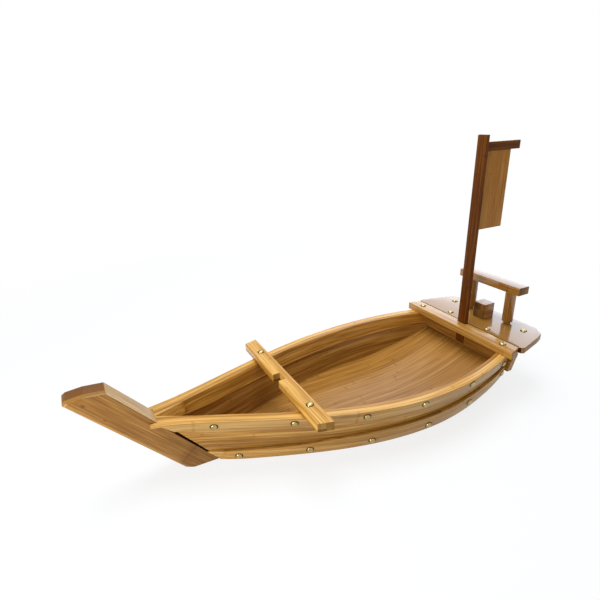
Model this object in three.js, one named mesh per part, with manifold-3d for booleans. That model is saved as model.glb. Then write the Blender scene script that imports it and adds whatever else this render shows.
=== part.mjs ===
// A bamboo serving boat about 70 cm long: a flared planked hull on a slanted stem, two cross beams,
// a stern deck with a small gate and a block, and a mast with a yard and a board sail that lifts out.
// Millimetres, Z up, bow towards minus X, starboard towards minus Y. The origin lies under the middle of
// the boat on the table, and hull stations are measured along X from the middle of the forward beam.
import * as THREE from "three";
import { mergeVertices } from "three/addons/utils/BufferGeometryUtils.js";
import Module from "manifold-3d";

const wasm = await Module();
wasm.setup();

// Fits and cutting
const fitGap = 0.3; // between pieces that are cut to each other
const slideGap = 0.4; // on each side of a piece that lifts out
const overrun = 20; // how far every cutter reaches past what it cuts
const weldDistance = 0.001;
const edgeRound = 0.9; // eased edges of the small timber

// Hull skin: rows of station, outside half width at the rail's top edge, height of that edge
const sheerRows = [
  [-200, 17.9, 88.2],
  [-180, 23.7, 86.9],
  [-160, 29.6, 85.7],
  [-140, 36.4, 84.5],
  [-100, 51.8, 82.2],
  [-60, 68.3, 79.9],
  [-20, 84.4, 77.8],
  [20, 99.1, 76.0],
  [60, 111.7, 74.5],
  [100, 121.4, 73.5],
  [140, 127.9, 73.0],
  [180, 130.9, 73.1],
  [220, 130.1, 73.8],
  [260, 125.5, 75.2],
  [300, 116.9, 76.9],
  [320, 111.3, 77.6],
  [346, 102.4, 78.2],
  [366, 94.6, 78.8],
];
const flareShareRows = [
  [-200, 0.35],
  [180, 0.35],
  [270, 0.3],
  [346, 0.2],
  [366, 0.18],
];
const hullFrontX = -190;
const hullStations = 40; // number of slices in each long plank
const riseStartX = 180; // from here the bottom sweeps up to the hull's rear end
const riseHeight = 35.5;

// Rails, planks, strakes and floor
const railDepthRows = [
  [-200, 14],
  [-160, 15.5],
  [-130, 19.5],
  [-96, 22],
  [260, 22],
  [346, 19.5],
  [366, 19],
];
const railWidthRows = [
  [-200, 26],
  [-178, 23.8],
  [-163, 21.4],
  [-127, 18],
  [260, 18],
  [366, 18],
];
const railEase = 1.6;
const railLipDepth = 5; // the part of the rail that runs on beside the stem
const railTipX = -187.5;
const plankThickness = 9.5;
const plankRecess = 3.6; // the plank's face stands this far in from the rail's face
const strakeProud = 1.2;
const strakeHeightRows = [
  [-200, 20],
  [-58, 20],
  [-8, 21.5],
  [53, 26.5],
  [130, 28.5],
  [208, 30],
  [263, 28.5],
  [310, 23],
  [346, 18],
  [366, 16],
];
const strakeEase = 1.0;
const floorThickness = 12;

// Stem: a plank standing on its heel and leaning forward
const stemThickness = 31.1;
const stemTopZ = 145;
const stemHeelRearX = -106.5;
const stemRun = 121; // how far the stem's rear edge leans forward up to its top
const stemTopRearX = stemHeelRearX - stemRun;
const stemTopLength = 42.5;
const stemTopFrontX = stemTopRearX - stemTopLength;
const stemTipSlant = 4;
const stemTipDrop = 2.6;
const stemTipX = stemTopFrontX - stemTipSlant;
const stemTipZ = stemTopZ - stemTipDrop;
const stemCrown = 1.8; // the top end is cut to a slight hump
const stemCrownShare = 0.55;
const stemHeelLength = 43;
const stemHeelFrontX = stemHeelRearX - stemHeelLength;
const stemHeelRound = 7;
const stemEase = 2.6;

// Cross beams
const seatZ = 77; // the flats on which both beams lie
const beamTopZ = 89.7;
const forwardBeamHalfWidth = 10.4;
const forwardBeamBowHalfLength = 119.8;
const forwardBeamFlare = 6.1; // both beams end along the hull's plan line
const forwardBeamAftHalfLength = forwardBeamBowHalfLength + forwardBeamFlare;
const sternBeamRearX = 351.7;
const sternBeamWidth = 23;
const sternBeamFrontX = sternBeamRearX - sternBeamWidth;
const sternBeamFrontHalfLength = 118.4;
const sternBeamTaper = 7;
const sternBeamRearHalfLength = sternBeamFrontHalfLength - sternBeamTaper;

// Transom, ledger and deck
const transomLap = 5.8; // how far the stern beam laps over the transom
const transomFrontX = sternBeamRearX - transomLap;
const transomThickness = 10;
const transomInset = 1.4; // inside the stern beam's ends
const transomTopHalfWidth = sternBeamRearHalfLength - transomInset;
const transomFlare = 7.7;
const transomBottomHalfWidth = transomTopHalfWidth - transomFlare;
const transomHeight = 33.5;
const transomBottomZ = seatZ - transomHeight;
const hullRearX = transomFrontX - fitGap;
const deckThickness = 10;
const deckBottomZ = beamTopZ - deckThickness;
const deckGroove = 0.5; // between the stern beam and the deck
const deckLength = 81.3;
const deckFrontX = sternBeamRearX + deckGroove;
const deckRearX = deckFrontX + deckLength;
const deckOverhang = 5.6; // beyond the stern beam's ends
const deckFrontHalfWidth = sternBeamRearHalfLength + deckOverhang;
const deckFrontCorner = 6;
const deckClipLength = 29.5; // the rear corners are clipped over this length, in two flats
const deckClipWidth = 25;
const deckClipLengthShare = 0.576;
const deckClipWidthShare = 0.248;
const deckTaper = 37;
const deckRearHalfWidth = deckFrontHalfWidth - deckTaper;
const deckSideEndHalfWidth = deckRearHalfWidth + deckClipWidth;
const cornerShare = 0.29; // where the middle of a rounded corner lies, as a share of its size
const ledgerThickness = 18;
const ledgerInset = 22; // the ledger stops this far inside the transom's ends
const ledgerHalfLength = transomTopHalfWidth - ledgerInset;
const ledgerHeight = 23.7;
const ledgerBottomZ = deckBottomZ - ledgerHeight;

// Block, gate and mast
const gateSetback = 23.5; // from the deck's rear edge to the gate's middle
const gateX = deckRearX - gateSetback;
const gatePostY = 40.6;
const gatePostRadius = 8.8;
const gateTenonRadius = 5.4;
const gateNeckHeight = 1.6;
const gateFootHeight = 4.2;
const gateClearHeight = 58.4;
const gateRailBottomZ = beamTopZ + gateClearHeight;
const gateRailThickness = 13.4;
const gateRailHalfWidth = 11.6;
const gateRailOverhang = 22.8;
const gateRailHalfLength = gatePostY + gateRailOverhang;
const roundSteps = 40;
const blockHalfWidth = 11.8;
const blockLead = 12.8; // the block's middle stands this far forward of the gate's
const blockX = gateX - blockLead;
const blockHeight = 27.3;
const mastThickness = 6.4;
const mastWidth = 17.6;
const mastTopZ = 397.3;
const mastFootDepth = 25.5; // below the seats of the beams
const mastFootZ = seatZ - mastFootDepth;
const yardHeight = 12.8;
const yardThickness = 6.4;
const yardDrop = 10.9; // from the mast's top to the yard's
const yardLength = 75.8;
const yardBottomZ = mastTopZ - yardDrop - yardHeight;
const yardEndX = sternBeamRearX + yardLength;
const sailHeight = 121.6;
const sailWidth = 57.8;
const sailThickness = 3.4;
const sailBottomZ = yardBottomZ - sailHeight;
const sailEndX = sternBeamRearX + sailWidth;

// Nails with domed heads
const nailRadius = 4.3;
const nailHeight = 2.4;
const nailSteps = 20;
const nailRings = 5;
const railNailXs = [-116, -22, 69, 154, 241, 331];
const railNailDropShares = [0.42, 0.4, 0.4, 0.38, 0.3, 0.7];
const strakeNailXs = [-85, 4, 88, 179, 258, 338];
const strakeNailRiseShares = [0.45, 0.44, 0.36, 0.34, 0.48, 0.46];
const forwardBeamNailX = 0.6;
const forwardBeamNailInset = 39.1;
const forwardBeamNailY = forwardBeamBowHalfLength - forwardBeamNailInset;
const sternBeamNailX = sternBeamRearX - sternBeamWidth / 2;
const sternBeamNailInset = 20.6;
const sternBeamNailY = sternBeamRearHalfLength - sternBeamNailInset;
const deckNailEdge = 9.3;
const deckRearNailSetback = 26.5;
const deckFrontNailX = deckFrontX + deckNailEdge;
const deckFrontNailY = 41.4;
const deckRearNailX = deckRearX - deckRearNailSetback;
const deckRearNailY = 76.5;

// Colours, roughness and metalness
const honeyBamboo = ["#d3a65c", 0.34, 0];
const sideBamboo = ["#b58a4a", 0.36, 0];
const warmBamboo = ["#a67a40", 0.38, 0];
const deckBamboo = ["#c7a276", 0.28, 0];
const gateBamboo = ["#8f6634", 0.36, 0];
const mastBamboo = ["#643a1c", 0.4, 0];
const sailBamboo = ["#8f6834", 0.42, 0];
const nailBrass = ["#c9b06a", 0.24, 1];

// Turns a geometry into a solid that can be joined and cut.
function solidFrom(geometry) {
  const loose = geometry.index ? geometry.toNonIndexed() : geometry.clone();
  loose.deleteAttribute("normal");
  loose.deleteAttribute("uv");
  const welded = mergeVertices(loose, weldDistance);
  return new wasm.Manifold(
    new wasm.Mesh({
      numProp: 3,
      vertProperties: welded.attributes.position.array,
      triVerts: new Uint32Array(welded.index.array),
    }),
  );
}

// Turns a cut solid back into a geometry with flat faces.
function geometryFrom(solid) {
  const mesh = solid.getMesh();
  const points = new Float32Array(mesh.numVert * 3);
  for (let i = 0; i < mesh.numVert; i++) {
    const start = i * mesh.numProp;
    points.set(mesh.vertProperties.subarray(start, start + 3), i * 3);
  }
  const indexed = new THREE.BufferGeometry();
  indexed.setAttribute("position", new THREE.BufferAttribute(points, 3));
  indexed.setIndex(new THREE.BufferAttribute(new Uint32Array(mesh.triVerts), 1));
  const flat = indexed.toNonIndexed();
  flat.computeVertexNormals();
  return flat;
}

// Cuts every cutter out of a geometry.
function cut(geometry, cutters) {
  let solid = solidFrom(geometry);
  for (const cutter of cutters) solid = solid.subtract(solidFrom(cutter));
  return geometryFrom(solid);
}

// Reads one column of a table of rows at a station, on a smooth curve through the rows.
function valueAt(rows, station, column = 1) {
  const last = rows.length - 1;
  let i = 0;
  while (i < last - 1 && station > rows[i + 1][0]) i++;
  const slopeAt = (k) => {
    const before = rows[Math.max(k - 1, 0)];
    const after = rows[Math.min(k + 1, last)];
    return (after[column] - before[column]) / (after[0] - before[0]);
  };
  const span = rows[i + 1][0] - rows[i][0];
  const share = THREE.MathUtils.clamp((station - rows[i][0]) / span, 0, 1);
  const square = share * share;
  const cube = square * share;
  return (
    rows[i][column] * (2 * cube - 3 * square + 1) +
    rows[i + 1][column] * (3 * square - 2 * cube) +
    slopeAt(i) * span * (cube - 2 * square + share) +
    slopeAt(i + 1) * span * (cube - square)
  );
}

const sheerZ = (x) => valueAt(sheerRows, x, 2);
const railBottomZ = (x) => sheerZ(x) - valueAt(railDepthRows, x);

// The height of the hull's underside, flat on the table and swept up towards the stern.
function keelZ(x) {
  const share = Math.max(0, (x - riseStartX) / (hullRearX - riseStartX));
  return riseHeight * share * share;
}

// The half width of the flared hull skin at a station and height, moved in by an inset.
function skinY(x, z, inset = 0) {
  const flare = valueAt(flareShareRows, x);
  return valueAt(sheerRows, x) - flare * (sheerZ(x) - z) - inset;
}

// Replaces every corner of a convex outline by a short flat.
function eased(corners, size) {
  const points = [];
  corners.forEach(([y, z], i) => {
    const count = corners.length;
    for (const step of [count - 1, 1]) {
      const [nextY, nextZ] = corners[(i + step) % count];
      const share = size / Math.hypot(nextY - y, nextZ - z);
      points.push([y + (nextY - y) * share, z + (nextZ - z) * share]);
    }
  });
  return points;
}

// Skins a solid over slices across the hull. Each slice is an outline of y and z, anticlockwise as seen
// from the stern on the port side, and a side of minus one mirrors the solid to starboard.
function loftAlong(sliceAt, frontX, rearX, side) {
  const rings = [];
  for (let i = 0; i <= hullStations; i++) {
    const x = THREE.MathUtils.lerp(frontX, rearX, i / hullStations);
    rings.push(sliceAt(x).map(([y, z]) => new THREE.Vector3(x, side * y, z)));
  }
  const points = [];
  const face = (a, b, c) => points.push(...(side > 0 ? [a, b, c] : [a, c, b]));
  const count = rings[0].length;
  for (let i = 0; i < hullStations; i++) {
    for (let j = 0; j < count; j++) {
      const k = (j + 1) % count;
      face(rings[i][j], rings[i][k], rings[i + 1][k]);
      face(rings[i][j], rings[i + 1][k], rings[i + 1][j]);
    }
  }
  for (let j = 1; j < count - 1; j++) {
    face(rings[0][0], rings[0][j + 1], rings[0][j]);
    face(rings[hullStations][0], rings[hullStations][j], rings[hullStations][j + 1]);
  }
  return new THREE.BufferGeometry().setFromPoints(points);
}

// A flat board from an outline, with eased edges, lying from its underside at zero upwards.
function board(outline, thickness, ease = edgeRound) {
  const shape = new THREE.Shape(outline.map(([a, b]) => new THREE.Vector2(a, b)));
  const geometry = new THREE.ExtrudeGeometry(shape, {
    depth: thickness - 2 * ease,
    bevelEnabled: ease > 0,
    bevelThickness: ease,
    bevelSize: ease,
    bevelOffset: -ease,
    bevelSegments: 2,
  });
  return geometry.translate(0, 0, ease);
}

// Stands a board up along the hull: its outline is x and z and it is centred across the hull.
function standAlong(geometry, thickness) {
  return geometry.rotateX(Math.PI / 2).translate(0, thickness / 2, 0);
}

// Stands a board up across the hull: its outline is y and z and it starts at a station.
function standAcross(geometry, frontX) {
  const axes = new THREE.Matrix4().makeBasis(
    new THREE.Vector3(0, 1, 0),
    new THREE.Vector3(0, 0, 1),
    new THREE.Vector3(1, 0, 0),
  );
  return geometry.applyMatrix4(axes).translate(frontX, 0, 0);
}

// A box given by its limits along each axis.
function boxBetween([x0, x1], [y0, y1], [z0, z1]) {
  const box = new THREE.BoxGeometry(x1 - x0, y1 - y0, z1 - z0);
  return box.translate((x0 + x1) / 2, (y0 + y1) / 2, (z0 + z1) / 2);
}

// Everything forward of the stem's rear face, up to a height and out to a half width.
function stemSide(halfWidth, topZ) {
  const slope = (stemTopRearX - stemHeelRearX) / stemTopZ;
  const rearX = (z) => stemHeelRearX + fitGap + slope * z;
  const outline = [
    [stemTipX - overrun, -overrun],
    [rearX(-overrun), -overrun],
    [rearX(topZ), topZ],
    [stemTipX - overrun, topZ],
  ];
  return standAlong(board(outline, 2 * halfWidth, 0), 2 * halfWidth);
}

// The slanted stem, with a rounded heel and a blunt tip.
function stem() {
  const rake = new THREE.Vector2(stemTipX - stemHeelFrontX, stemTipZ).normalize();
  const crownX = THREE.MathUtils.lerp(stemTopRearX, stemTopFrontX, stemCrownShare);
  const heelMiddleX = stemHeelFrontX + stemHeelRound * cornerShare;
  const shape = [
    [stemHeelRearX, 0],
    [stemTopRearX, stemTopZ],
    [crownX, stemTopZ + stemCrown],
    [stemTopFrontX, stemTopZ],
    [stemTipX, stemTipZ],
    [stemHeelFrontX + rake.x * stemHeelRound, rake.y * stemHeelRound],
    [heelMiddleX, stemHeelRound * cornerShare],
    [stemHeelFrontX + stemHeelRound, 0],
  ];
  return standAlong(board(shape, stemThickness, stemEase), stemThickness);
}

// A slice of the hull's wall between two heights, from an outer inset to an inner one.
function wallSlice(x, bottomZ, topZ, outerInset, innerInset) {
  return [
    [skinY(x, bottomZ, innerInset), bottomZ],
    [skinY(x, bottomZ, outerInset), bottomZ],
    [skinY(x, topZ, outerInset), topZ],
    [skinY(x, topZ, innerInset), topZ],
  ];
}

function sidePlank(side) {
  const slice = (x) =>
    wallSlice(x, keelZ(x), railBottomZ(x) - fitGap, plankRecess, plankRecess + plankThickness);
  const reach = valueAt(sheerRows, riseStartX) + overrun;
  return cut(loftAlong(slice, hullFrontX, hullRearX, side), [stemSide(reach, stemTopZ)]);
}

function lowerStrake(side) {
  const slice = (x) => {
    const top = keelZ(x) + valueAt(strakeHeightRows, x);
    return eased(wallSlice(x, keelZ(x), top, -strakeProud, plankRecess - fitGap), strakeEase);
  };
  const reach = valueAt(sheerRows, riseStartX) + overrun;
  return cut(loftAlong(slice, hullFrontX, hullRearX, side), [stemSide(reach, stemTopZ)]);
}

// A rail along the hull's top edge. Its lip runs on beside the stem, and flats carry the beams.
function rail(side) {
  const slice = (x) =>
    eased(wallSlice(x, railBottomZ(x), sheerZ(x), 0, valueAt(railWidthRows, x)), railEase);
  const reach = valueAt(sheerRows, riseStartX) + overrun;
  const lipBottomZ = sheerZ(railTipX) - railLipDepth;
  const seatTop = seatZ + overrun;
  return cut(loftAlong(slice, railTipX, hullRearX, side), [
    stemSide(stemThickness / 2 + fitGap, stemTopZ),
    stemSide(reach, lipBottomZ),
    boxBetween(
      [-forwardBeamHalfWidth - fitGap, forwardBeamHalfWidth + fitGap],
      [-reach, reach],
      [seatZ, seatTop],
    ),
    boxBetween([sternBeamFrontX - fitGap, hullRearX + overrun], [-reach, reach], [seatZ, seatTop]),
  ]);
}

// The floor between the planks, flat forward and bent up to the transom.
function floorBoard() {
  const inset = plankRecess + plankThickness + fitGap;
  const slice = (x) => {
    const bottom = keelZ(x);
    const top = bottom + floorThickness;
    return [
      [-skinY(x, bottom, inset), bottom],
      [skinY(x, bottom, inset), bottom],
      [skinY(x, top, inset), top],
      [-skinY(x, top, inset), top],
    ];
  };
  const reach = valueAt(sheerRows, riseStartX) + overrun;
  const front = stemHeelRearX + (floorThickness / stemTopZ) * (stemTopRearX - stemHeelRearX);
  return cut(loftAlong(slice, front, hullRearX, 1), [stemSide(reach, stemTopZ)]);
}

function transom() {
  const outline = [
    [-transomBottomHalfWidth, transomBottomZ],
    [transomBottomHalfWidth, transomBottomZ],
    [transomTopHalfWidth, seatZ],
    [-transomTopHalfWidth, seatZ],
  ];
  const solid = standAcross(board(outline, transomThickness), transomFrontX);
  return cut(solid, [mastSlot(mastFootZ)]);
}

// The straight space that the mast slides in, open towards the bow.
function mastSlot(bottomZ, frontX = sternBeamRearX - mastThickness - slideGap) {
  const halfWidth = mastWidth / 2 + slideGap;
  return boxBetween(
    [frontX, sternBeamRearX + slideGap],
    [-halfWidth, halfWidth],
    [bottomZ, beamTopZ + overrun],
  );
}

// The ledger behind the transom, which carries the deck's front edge.
function sternLedger() {
  const outline = [
    [-ledgerHalfLength, ledgerBottomZ],
    [ledgerHalfLength, ledgerBottomZ],
    [ledgerHalfLength, deckBottomZ],
    [-ledgerHalfLength, deckBottomZ],
  ];
  return standAcross(board(outline, ledgerThickness), transomFrontX + transomThickness);
}

// A beam across the hull with a notch for a mast at one edge.
function beam(frontX, frontHalf, rearX, rearHalf, notch) {
  const outline = [
    [frontX, -frontHalf],
    [rearX, -rearHalf],
    [rearX, rearHalf],
    [frontX, frontHalf],
  ];
  return cut(board(outline, beamTopZ - seatZ).translate(0, 0, seatZ), [notch]);
}

function forwardBeam() {
  const halfWidth = mastWidth / 2 + slideGap;
  const notch = boxBetween(
    [-forwardBeamHalfWidth - overrun, 0],
    [-halfWidth, halfWidth],
    [seatZ - overrun, beamTopZ + overrun],
  );
  return beam(
    -forwardBeamHalfWidth,
    forwardBeamBowHalfLength,
    forwardBeamHalfWidth,
    forwardBeamAftHalfLength,
    notch,
  );
}

function sternBeam() {
  return beam(
    sternBeamFrontX,
    sternBeamFrontHalfLength,
    sternBeamRearX,
    sternBeamRearHalfLength,
    mastSlot(seatZ - overrun),
  );
}

// The stern deck with clipped rear corners and two holes for the gate's tenons.
function sternDeck() {
  const half = [
    [deckFrontX, deckFrontHalfWidth - deckFrontCorner],
    [
      deckFrontX + deckFrontCorner * cornerShare,
      deckFrontHalfWidth - deckFrontCorner * cornerShare,
    ],
    [deckFrontX + deckFrontCorner, deckFrontHalfWidth],
    [deckRearX - deckClipLength, deckSideEndHalfWidth],
    [
      deckRearX - deckClipLength * (1 - deckClipLengthShare),
      deckSideEndHalfWidth - deckClipWidth * deckClipWidthShare,
    ],
    [deckRearX, deckRearHalfWidth],
  ];
  const starboard = half.map(([x, y]) => [x, -y]);
  const outline = [...starboard, ...half.reverse()];
  const holes = [-1, 1].map((side) => {
    const drill = new THREE.CylinderGeometry(
      gateTenonRadius + slideGap,
      gateTenonRadius + slideGap,
      deckThickness + overrun,
      roundSteps,
    );
    return drill.rotateX(Math.PI / 2).translate(gateX, side * gatePostY, beamTopZ);
  });
  const deck = board(outline, deckThickness).translate(0, 0, deckBottomZ);
  return cut(deck, holes);
}

function sternBlock() {
  const outline = [
    [blockX - blockHalfWidth, -blockHalfWidth],
    [blockX + blockHalfWidth, -blockHalfWidth],
    [blockX + blockHalfWidth, blockHalfWidth],
    [blockX - blockHalfWidth, blockHalfWidth],
  ];
  return board(outline, blockHeight).translate(0, 0, beamTopZ);
}

// A round post of the gate, turned down to a tenon that stands in the deck.
function gatePost() {
  const bottom = deckBottomZ + fitGap;
  const foot = beamTopZ + gateNeckHeight;
  const profile = [
    [0, bottom],
    [gateTenonRadius, bottom],
    [gateTenonRadius, foot],
    [gatePostRadius, beamTopZ + gateFootHeight],
    [gatePostRadius, gateRailBottomZ],
    [0, gateRailBottomZ],
  ];
  const points = profile.map(([r, z]) => new THREE.Vector2(r, z));
  return new THREE.LatheGeometry(points, roundSteps).rotateX(Math.PI / 2);
}

function gateRail() {
  const outline = [
    [gateX - gateRailHalfWidth, -gateRailHalfLength],
    [gateX + gateRailHalfWidth, -gateRailHalfLength],
    [gateX + gateRailHalfWidth, gateRailHalfLength],
    [gateX - gateRailHalfWidth, gateRailHalfLength],
  ];
  return board(outline, gateRailThickness).translate(0, 0, gateRailBottomZ);
}

function mast() {
  const halfWidth = mastWidth / 2;
  const outline = [
    [-halfWidth, mastFootZ + fitGap],
    [halfWidth, mastFootZ + fitGap],
    [halfWidth, mastTopZ],
    [-halfWidth, mastTopZ],
  ];
  return standAcross(board(outline, mastThickness), sternBeamRearX - mastThickness);
}

function yard() {
  const outline = [
    [sternBeamRearX, yardBottomZ],
    [yardEndX, yardBottomZ],
    [yardEndX, yardBottomZ + yardHeight],
    [sternBeamRearX, yardBottomZ + yardHeight],
  ];
  return standAlong(board(outline, yardThickness), yardThickness);
}

function sail() {
  const outline = [
    [sternBeamRearX, sailBottomZ],
    [sailEndX, sailBottomZ],
    [sailEndX, yardBottomZ],
    [sternBeamRearX, yardBottomZ],
  ];
  return standAlong(board(outline, sailThickness), sailThickness);
}

// The domed head of a nail, standing on its flat side.
function nailHead() {
  const points = [new THREE.Vector2(0, 0)];
  for (let i = 0; i <= nailRings; i++) {
    const angle = (i / nailRings) * (Math.PI / 2);
    const radius = i < nailRings ? nailRadius * Math.cos(angle) : 0;
    points.push(new THREE.Vector2(radius, nailHeight * Math.sin(angle)));
  }
  return new THREE.LatheGeometry(points, nailSteps).rotateX(Math.PI / 2);
}

const boat = new THREE.Group();
boat.name = "serving_boat";
boat.position.x = -(stemTipX + deckRearX) / 2;
const upperRig = new THREE.Group();
upperRig.name = "mast_and_sail";
const gate = new THREE.Group();
gate.name = "stern_gate";
boat.add(upperRig, gate);

function add(parent, name, geometry, [colour, roughness, metalness]) {
  const material = new THREE.MeshStandardMaterial({ color: colour, roughness, metalness });
  const mesh = new THREE.Mesh(geometry, material);
  mesh.name = name;
  parent.add(mesh);
  return mesh;
}

// Sets a nail on the hull skin, square to it and just clear of it.
function sideNail(name, side, x, z, proud) {
  const y = skinY(x, z, -proud);
  const slope = (skinY(x + weldDistance, z) - skinY(x - weldDistance, z)) / (2 * weldDistance);
  const normal = new THREE.Vector3(-slope, side, -valueAt(flareShareRows, x)).normalize();
  const nail = add(boat, name, nailHead(), nailBrass);
  nail.quaternion.setFromUnitVectors(new THREE.Vector3(0, 0, 1), normal);
  nail.position.set(x, side * y, z).addScaledVector(normal, fitGap);
}

function topNail(name, x, y) {
  add(boat, name, nailHead(), nailBrass).position.set(x, y, beamTopZ);
}

add(boat, "stem", stem(), warmBamboo);
add(boat, "floor_board", floorBoard(), sideBamboo);
add(boat, "transom", transom(), warmBamboo);
add(boat, "stern_ledger", sternLedger(), warmBamboo);
add(boat, "forward_beam", forwardBeam(), honeyBamboo);
add(boat, "stern_beam", sternBeam(), deckBamboo);
add(boat, "stern_deck", sternDeck(), deckBamboo);
add(boat, "stern_block", sternBlock(), gateBamboo);
add(gate, "gate_rail", gateRail(), gateBamboo);
add(upperRig, "mast", mast(), mastBamboo);
add(upperRig, "yard", yard(), mastBamboo);
add(upperRig, "sail", sail(), sailBamboo);

for (const [hand, side] of [["port", 1], ["starboard", -1]]) {
  add(boat, `side_plank_${hand}`, sidePlank(side), sideBamboo);
  add(boat, `lower_strake_${hand}`, lowerStrake(side), warmBamboo);
  add(boat, `rail_${hand}`, rail(side), honeyBamboo);
  const post = add(gate, `gate_post_${hand}`, gatePost(), gateBamboo);
  post.position.set(gateX, side * gatePostY, 0);
  railNailXs.forEach((x, i) => {
    const drop = railNailDropShares[i] * valueAt(railDepthRows, x);
    sideNail(`rail_nail_${hand}_${i + 1}`, side, x, sheerZ(x) - drop, 0);
  });
  strakeNailXs.forEach((x, i) => {
    const rise = strakeNailRiseShares[i] * valueAt(strakeHeightRows, x);
    sideNail(`strake_nail_${hand}_${i + 1}`, side, x, keelZ(x) + rise, strakeProud);
  });
  topNail(`forward_beam_nail_${hand}`, forwardBeamNailX, side * forwardBeamNailY);
  topNail(`stern_beam_nail_${hand}`, sternBeamNailX, side * sternBeamNailY);
  topNail(`deck_front_nail_${hand}`, deckFrontNailX, side * deckFrontNailY);
  topNail(`deck_rear_nail_${hand}`, deckRearNailX, side * deckRearNailY);
}

export default boat;
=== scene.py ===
# %% [markdown]
# # A bamboo serving boat
# The boat is a small joiner's piece: laminated bamboo planks bent round a floor, a raked stem plank at the
# bow, two cross beams on the rails, a deck with a little gate at the stern, and a mast that lifts out.
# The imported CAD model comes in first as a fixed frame. Every piece below is worked out in it, lands where
# the CAD says, and takes over the looks of its CAD node.

# %% Load the frame
from functools import partial
from math import pi, radians

import bpy
import numpy as np
from mathutils import Matrix, Vector


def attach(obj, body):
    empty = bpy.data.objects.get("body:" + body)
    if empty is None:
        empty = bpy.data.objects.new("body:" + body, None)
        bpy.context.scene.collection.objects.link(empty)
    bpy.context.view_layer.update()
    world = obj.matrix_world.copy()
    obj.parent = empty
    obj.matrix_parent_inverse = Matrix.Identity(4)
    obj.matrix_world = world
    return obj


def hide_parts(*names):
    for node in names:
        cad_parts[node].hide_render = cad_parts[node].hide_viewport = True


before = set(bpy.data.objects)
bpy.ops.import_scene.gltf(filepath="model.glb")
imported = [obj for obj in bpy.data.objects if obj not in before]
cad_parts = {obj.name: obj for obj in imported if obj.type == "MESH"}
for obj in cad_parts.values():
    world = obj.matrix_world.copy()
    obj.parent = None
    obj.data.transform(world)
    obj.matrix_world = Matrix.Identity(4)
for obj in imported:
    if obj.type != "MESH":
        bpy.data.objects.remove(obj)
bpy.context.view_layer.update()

# %% [markdown]
# ## Sizes
# All lengths are in millimetres, in the builder's own hull frame: stations run along X from the middle of
# the forward beam, towards the stern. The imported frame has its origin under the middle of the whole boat, so
# one function moves finished points there and turns them to metres.

# %% The hull's own frame
STEM_TIP, DECK_REAR = -274.0, 433.5
MIDDLE = (STEM_TIP + DECK_REAR) / 2
FIT = 0.3  # gap between pieces that are cut to each other
print("length:", DECK_REAR - STEM_TIP)


def to_frame(points):
    """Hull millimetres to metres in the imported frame: subtract the middle along X, divide by 1000."""
    return (np.asarray(points, float) - (MIDDLE, 0, 0)) / 1000


# %% [markdown]
# ## The hull skin
# Bent planks lie on one smooth skin. It is told by three curves along the hull: the half width at the rail's
# top edge, the height of that edge, and the flare, which says how much the side leans in on its way
# down. A smooth curve through measured stations gives each of them, so every plank stays parallel to its
# neighbours.

# %% Stations
STATION = [-200, -180, -160, -140, -100, -60, -20, 20, 60, 100, 140, 180, 220, 260, 300, 320, 346, 366]
HALF_WIDTH = [
    17.9, 23.7, 29.6, 36.4, 51.8, 68.3, 84.4, 99.1, 111.7,
    121.4, 127.9, 130.9, 130.1, 125.5, 116.9, 111.3, 102.4, 94.6,
]
SHEER = [
    88.2, 86.9, 85.7, 84.5, 82.2, 79.9, 77.8, 76.0, 74.5,
    73.5, 73.0, 73.1, 73.8, 75.2, 76.9, 77.6, 78.2, 78.8,
]
HULL_REAR = 345.6
KEEL_RISE, RISE_FROM = 35.5, 180.0  # how far the bottom bends up at the rear end, and from which station
# Stations and values: the sideways lean for each millimetre down, and the heights of rail and strake
FLARE = ([-200, 180, 270, 346, 366], [0.35, 0.35, 0.3, 0.2, 0.18])
RAIL_HEIGHT = ([-200, -160, -130, -96, 260, 346, 366], [14, 15.5, 19.5, 22, 22, 19.5, 19])
STRAKE_HEIGHT = (
    [-200, -58, -8, 53, 130, 208, 263, 310, 346, 366],
    [20, 20, 21.5, 26.5, 28.5, 30, 28.5, 23, 18, 16],
)


# %% Curves, skin and edges
def curve(x, knots, values):
    """A smooth curve through the knots: a cubic in each span, whose end slopes are those of the chord
    between the knots on either side."""
    knots, values = np.asarray(knots, float), np.asarray(values, float)
    index = np.arange(len(knots))
    before, after = np.maximum(index - 1, 0), np.minimum(index + 1, len(knots) - 1)
    slope = (values[after] - values[before]) / (knots[after] - knots[before])
    i = np.clip(np.searchsorted(knots, x, side="left") - 1, 0, len(knots) - 2)
    span = knots[i + 1] - knots[i]
    t = np.clip((x - knots[i]) / span, 0, 1)
    return (
        values[i] * (2 * t**3 - 3 * t**2 + 1)
        + values[i + 1] * (3 * t**2 - 2 * t**3)
        + slope[i] * span * (t**3 - 2 * t**2 + t)
        + slope[i + 1] * span * (t**3 - t**2)
    )


def sheer(x):
    """Height of the rail's top edge above the table."""
    return curve(x, STATION, SHEER)


def keel(x):
    """Flat on the table, then a parabola: the rise times the square of the share of the way aft."""
    return KEEL_RISE * np.maximum(0, (x - RISE_FROM) / (HULL_REAR - RISE_FROM)) ** 2


def skin(x, z, inset=0.0):
    """Half width of the skin: the rail's half width, less the flare times the drop below the rail's top."""
    return curve(x, STATION, HALF_WIDTH) - curve(x, *FLARE) * (sheer(x) - z) - inset


def rail_bottom(x):
    """The rail's top edge less the rail's own height."""
    return sheer(x) - curve(x, *RAIL_HEIGHT)


def strake_top(x):
    """The keel line plus the strake's own height."""
    return keel(x) + curve(x, *STRAKE_HEIGHT)


print("width at the rails:", 2 * max(HALF_WIDTH))

# %% [markdown]
# ## From arrays to meshes
# A surface here is a grid: rows of rings, each ring a closed loop of points. One helper joins the rings with
# quads, closes both ends and gives the points to Blender in one go. It also stores a `grain` attribute, the
# point's place in the wood: along the fibres, across the strips, and in depth. The bamboo material reads
# that instead of plain coordinates, so the fibres follow each bent plank as they do in real wood.

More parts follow.
